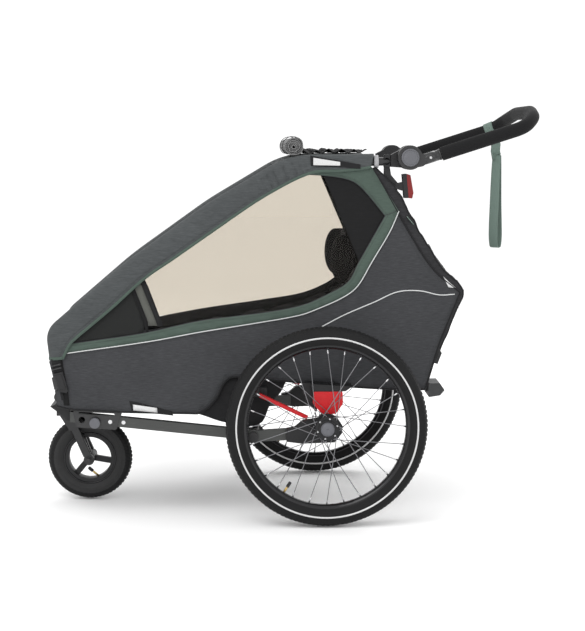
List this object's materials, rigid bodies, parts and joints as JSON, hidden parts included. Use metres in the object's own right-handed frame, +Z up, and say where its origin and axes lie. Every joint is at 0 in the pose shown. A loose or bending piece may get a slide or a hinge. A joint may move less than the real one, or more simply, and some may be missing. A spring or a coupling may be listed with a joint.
{
  "type": "child bicycle trailer",
  "caption": "Fabric-bodied child bicycle trailer with spoked rear wheels on sprung arms, a caster front wheel, a folding roof frame and a tilting padded handlebar.",
  "frame": {"origin": "on the ground, under the middle of the whole object's box", "axes": "+Z up, +Y towards the rear and the handlebar, +X towards the trailer's left side, where the hitch plate is"},
  "size_m": [0.692, 1.268, 1.038],
  "materials": {
    "frame": "satin black powder coat",
    "arm": "dark grey anodised",
    "black_plastic": "fine-grained moulding",
    "grey_plastic": "satin moulding",
    "silver": "brushed",
    "steel": "bright zinc",
    "body_fabric": "dark grey melange canvas",
    "dark_fabric": "black mesh and lining",
    "green_fabric": "muted green canvas and webbing",
    "film": "tinted clear film",
    "tyre": "rubber with a reflective stripe",
    "rim": "black anodised",
    "spokes": "dark spokes with bright nipples",
    "spring_red": "bright red elastomer",
    "foam": "fine foam sleeve",
    "lamp_red": "moulded red lens"
  },
  "bodies": {
    "chassis": {"side_rails": "frame", "cross_tubes": "frame", "caster_bracket": "black_plastic", "rear_stays": "frame", "spring_seats": "frame", "brake_brackets": "black_plastic", "pivot_pins": "steel", "hitch_plate": "frame", "frame_screws": "steel", "front_bumper": "black_plastic", "hoop_brackets": "frame", "pedal_bracket": "frame", "floor_tub": "body_fabric", "side_windows": "film", "back_cover": "body_fabric", "seat_cushion": "dark_fabric", "front_buckles": "black_plastic", "side_panel_left": "body_fabric", "side_panel_right": "body_fabric"},
    "roof_frame": {"hood": "body_fabric", "cover_roll": "dark_fabric", "hoop_tubes": "frame", "hoop_cross_tubes": "frame", "hinge_housings": "black_plastic", "light_clamp": "black_plastic"},
    "frame_lock": {"lock_collars": "silver"},
    "backrest_frame": {"rear_frame_tube": "frame", "backrest_pad": "dark_fabric", "harness": "dark_fabric"},
    "handlebar": {"handlebar_tube": "frame", "grip_foam": "foam"},
    "hinge_button_left": {"hinge_button_left": "grey_plastic"},
    "hinge_button_right": {"hinge_button_right": "grey_plastic"},
    "wrist_strap": {"wrist_strap": "green_fabric"},
    "rear_light": {"light_body": "black_plastic", "light_lens": "lamp_red"},
    "caster": {"caster_fork": "black_plastic", "front_axle": "steel"},
    "caster_wheel": {"front_tyre": "tyre", "front_rim": "black_plastic"},
    "brake_pedal": {"brake_pedal": "black_plastic"},
    "lock_knob": {"lock_knob": "grey_plastic"},
    "arm_left": {"trailing_arm_left": "arm", "hub_carrier_left": "black_plastic", "rubber_spring_left": "spring_red", "leaf_spring_left": "spring_red"},
    "wheel_left": {"tyre_left": "tyre", "rim_left": "rim", "hub_left": "black_plastic", "spokes_left": "spokes"},
    "axle_button_left": {"axle_button_left": "grey_plastic"},
    "arm_right": {"trailing_arm_right": "arm", "hub_carrier_right": "black_plastic", "rubber_spring_right": "spring_red", "leaf_spring_right": "spring_red"},
    "wheel_right": {"tyre_right": "tyre", "rim_right": "rim", "hub_right": "black_plastic", "spokes_right": "spokes"},
    "axle_button_right": {"axle_button_right": "grey_plastic"}
  },
  "joints": [
    {"name": "frame_fold", "type": "hinge", "parent": "chassis", "child": "roof_frame", "pos_m": [0, -0.575, 0.31], "axis": [1, 0, 0], "range_deg": [-33, 0], "deforming": ["hood", "cover_roll", "side_panel_left", "side_panel_right", "side_windows", "back_cover", "seat_cushion", "floor_tub", "front_buckles", "backrest_pad", "harness"]},
    {"name": "backrest_fold", "type": "hinge", "parent": "chassis", "child": "backrest_frame", "pos_m": [0, 0.11, 0.374], "axis": [1, 0, 0], "range_deg": [0, 95]},
    {"name": "frame_lock_slide", "type": "slide", "parent": "roof_frame", "child": "frame_lock", "axis": [0, 0.9994, 0.0354], "range_m": [0, 0.008], "stiffness_N_per_m": 600, "springref_m": -0.006},
    {"name": "handlebar_tilt", "type": "hinge", "parent": "roof_frame", "child": "handlebar", "pos_m": [0, 0.295, 0.907], "axis": [1, 0, 0], "range_deg": [-60, 45], "deforming": ["wrist_strap"]},
    {"name": "strap_swing", "type": "hinge", "parent": "handlebar", "child": "wrist_strap", "pos_m": [-0.235, 0.57, 0.979], "axis": [1, 0, 0], "range_deg": [-50, 65]},
    {"name": "light_tilt", "type": "hinge", "parent": "roof_frame", "child": "rear_light", "pos_m": [0.205, 0.268, 0.836], "axis": [1, 0, 0], "range_deg": [-10, 20]},
    {"name": "caster_swivel", "type": "hinge", "parent": "chassis", "child": "caster", "pos_m": [0, -0.581, 0.26], "axis": [0, 0, 1], "continuous": true},
    {"name": "caster_wheel_spin", "type": "hinge", "parent": "caster", "child": "caster_wheel", "pos_m": [0, -0.5215, 0.1125], "axis": [1, 0, 0], "continuous": true},
    {"name": "brake_pedal_press", "type": "hinge", "parent": "chassis", "child": "brake_pedal", "pos_m": [0, 0.358, 0.306], "axis": [1, 0, 0], "range_deg": [-16, 0], "stiffness_Nm_per_rad": 4, "springref_deg": 11.46},
    {"name": "lock_knob_pull", "type": "slide", "parent": "chassis", "child": "lock_knob", "axis": [1, 0, 0], "range_m": [0, 0.008], "stiffness_N_per_m": 800, "springref_m": -0.006},
    {"name": "suspension_left", "type": "hinge", "parent": "chassis", "child": "arm_left", "pos_m": [0.24, -0.09, 0.214], "axis": [1, 0, 0], "range_deg": [0, 5], "stiffness_Nm_per_rad": 160, "springref_deg": -17.19, "deforming": ["rubber_spring_left", "leaf_spring_left"]},
    {"name": "wheel_spin_left", "type": "hinge", "parent": "arm_left", "child": "wheel_left", "pos_m": [0.31, 0.09, 0.25], "axis": [1, 0, 0], "continuous": true},
    {"name": "axle_button_left_press", "type": "slide", "parent": "arm_left", "child": "axle_button_left", "axis": [-1, 0, 0], "range_m": [0, 0.0025], "stiffness_N_per_m": 800, "springref_m": -0.004},
    {"name": "hinge_button_left_press", "type": "slide", "parent": "handlebar", "child": "hinge_button_left", "axis": [-1, 0, 0], "range_m": [0, 0.0025], "stiffness_N_per_m": 800, "springref_m": -0.004},
    {"name": "suspension_right", "type": "hinge", "parent": "chassis", "child": "arm_right", "pos_m": [-0.24, -0.09, 0.214], "axis": [1, 0, 0], "range_deg": [0, 5], "stiffness_Nm_per_rad": 160, "springref_deg": -17.19, "deforming": ["rubber_spring_right", "leaf_spring_right"]},
    {"name": "wheel_spin_right", "type": "hinge", "parent": "arm_right", "child": "wheel_right", "pos_m": [-0.31, 0.09, 0.25], "axis": [1, 0, 0], "continuous": true},
    {"name": "axle_button_right_press", "type": "slide", "parent": "arm_right", "child": "axle_button_right", "axis": [1, 0, 0], "range_m": [0, 0.0025], "stiffness_N_per_m": 800, "springref_m": -0.004},
    {"name": "hinge_button_right_press", "type": "slide", "parent": "handlebar", "child": "hinge_button_right", "axis": [1, 0, 0], "range_m": [0, 0.0025], "stiffness_N_per_m": 800, "springref_m": -0.004}
  ],
  "couplings": [
    {"joint": "backrest_fold", "follows": "frame_fold", "ratio": -2.8788},
    {"joint": "strap_swing", "follows": "handlebar_tilt", "ratio": -1}
  ]
}
